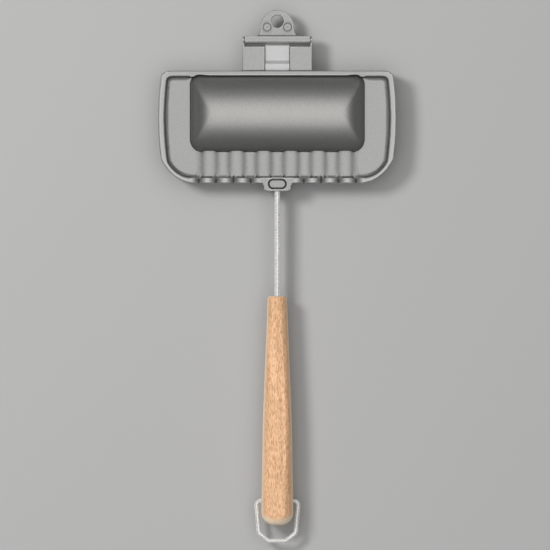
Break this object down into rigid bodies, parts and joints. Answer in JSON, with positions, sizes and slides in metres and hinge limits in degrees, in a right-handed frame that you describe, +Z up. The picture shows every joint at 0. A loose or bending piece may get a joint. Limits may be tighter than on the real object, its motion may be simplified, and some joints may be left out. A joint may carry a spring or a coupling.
{
  "type": "stovetop sandwich maker",
  "caption": "Hinged two-sided cast pan with a domed pocket, crimping ribs, steel rods, split wooden grip, wire lock ring and a hanging eye.",
  "frame": {"origin": "centre of the flat strip on the crest of the lower pan, on the hob", "axes": "+X across the pan to the right, +Y from the grips to the hinge, +Z up from the hob through the upper pan"},
  "size_m": [0.1736, 0.3893, 0.0374],
  "materials": {
    "cast_coat": "fine matt non-stick coat over cast aluminium",
    "steel": "bright drawn steel",
    "beech": "sanded, oiled beech"
  },
  "bodies": {
    "lower_half": {"lower_plate": "cast_coat", "lower_rod": "steel", "lower_plug": "cast_coat", "lower_grip": "beech"},
    "upper_half": {"upper_plate": "cast_coat", "hinge_pin": "steel", "detent_spring": "steel", "upper_rod": "steel", "upper_plug": "cast_coat", "upper_grip": "beech"},
    "ring": {"lock_ring": "steel"}
  },
  "joints": [
    {"name": "lid_hinge", "type": "hinge", "parent": "lower_half", "child": "upper_half", "pos_m": [0, 0.0537, 0.02085], "axis": [-1, 0, 0], "range_deg": [0, 135]},
    {"name": "ring_swing", "type": "hinge", "parent": "lower_half", "child": "ring", "pos_m": [0, -0.2829, 0.0138], "axis": [-1, 0, 0], "range_deg": [-150, 138]}
  ]
}
